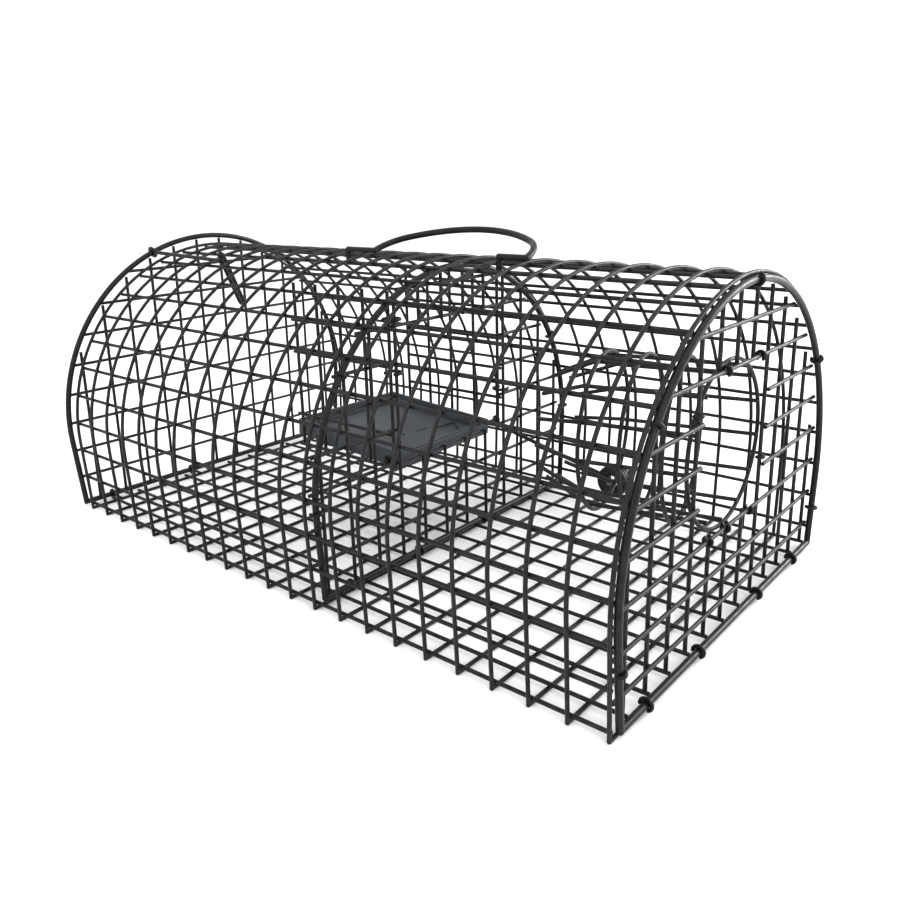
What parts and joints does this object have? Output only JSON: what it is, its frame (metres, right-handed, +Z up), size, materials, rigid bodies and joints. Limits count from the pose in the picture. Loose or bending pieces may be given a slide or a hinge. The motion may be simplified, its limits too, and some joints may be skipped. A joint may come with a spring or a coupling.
{
  "type": "live catch trap",
  "caption": "Arched black welded-mesh live catch trap with a round entrance tube, a tipping treadle in a raised tunnel, a bottom-hinged rear door with a latch, and a carrying handle.",
  "frame": {"origin": "middle of the cage's rectangular footprint, on the surface it stands on", "axes": "+X from the rear door to the entrance, +Z up, +Y to the left when facing along +X"},
  "size_m": [0.4172, 0.2404, 0.1856],
  "materials": {
    "black_wire": "semi-gloss black coating",
    "black_rod": "semi-gloss black coating",
    "black_clip": "satin black",
    "slate_plastic": "matte moulded"
  },
  "bodies": {
    "cage": {"shell_hoops": "black_wire", "arch_long_wires": "black_wire", "floor_long_wires": "black_wire", "entrance_hoop_rod": "black_rod", "middle_hoop_rod": "black_rod", "entrance_panel_verticals": "black_wire", "entrance_panel_rows": "black_wire", "entrance_tube_hoops": "black_wire", "entrance_tube_wires": "black_wire", "partition_verticals": "black_wire", "partition_rows": "black_wire", "tunnel_near_wall": "black_wire", "tunnel_far_wall": "black_wire", "treadle_pivot_rings": "black_clip", "entrance_panel_clips": "black_clip", "entrance_tube_clips": "black_clip", "partition_clips": "black_clip", "tunnel_clips": "black_clip", "door_hinge_clips": "black_clip"},
    "treadle": {"treadle_tray": "slate_plastic", "treadle_axle_wire": "black_wire", "counterweight": "black_rod"},
    "rear_door": {"door_frame_rod": "black_rod", "door_verticals": "black_wire", "door_rows": "black_wire"},
    "latch": {"latch_bar": "black_rod"},
    "link": {"latch_link": "black_wire"},
    "handle": {"handle_bail": "black_rod"}
  },
  "joints": [
    {"name": "treadle_tilt", "type": "hinge", "parent": "cage", "child": "treadle", "pos_m": [0.0215, 0, 0.06201], "axis": [0, -1, 0], "range_deg": [0, 35]},
    {"name": "door_swing", "type": "hinge", "parent": "cage", "child": "rear_door", "pos_m": [-0.20822, 0, 0.0035], "axis": [0, -1, 0], "range_deg": [0, 85]},
    {"name": "latch_lift", "type": "hinge", "parent": "rear_door", "child": "latch", "pos_m": [-0.20536, -0.04439, 0.16735], "axis": [-0.0065, -0.9272, -0.3745], "range_deg": [0, 90]},
    {"name": "link_swing", "type": "hinge", "parent": "cage", "child": "link", "pos_m": [-0.14288, -0.03171, 0.1656], "axis": [0, -0.9622, -0.2722], "range_deg": [0, 60]},
    {"name": "handle_swing", "type": "hinge", "parent": "cage", "child": "handle", "pos_m": [0.035, -0.0125, 0.17244], "axis": [1, 0, 0], "range_deg": [0, 100]}
  ]
}
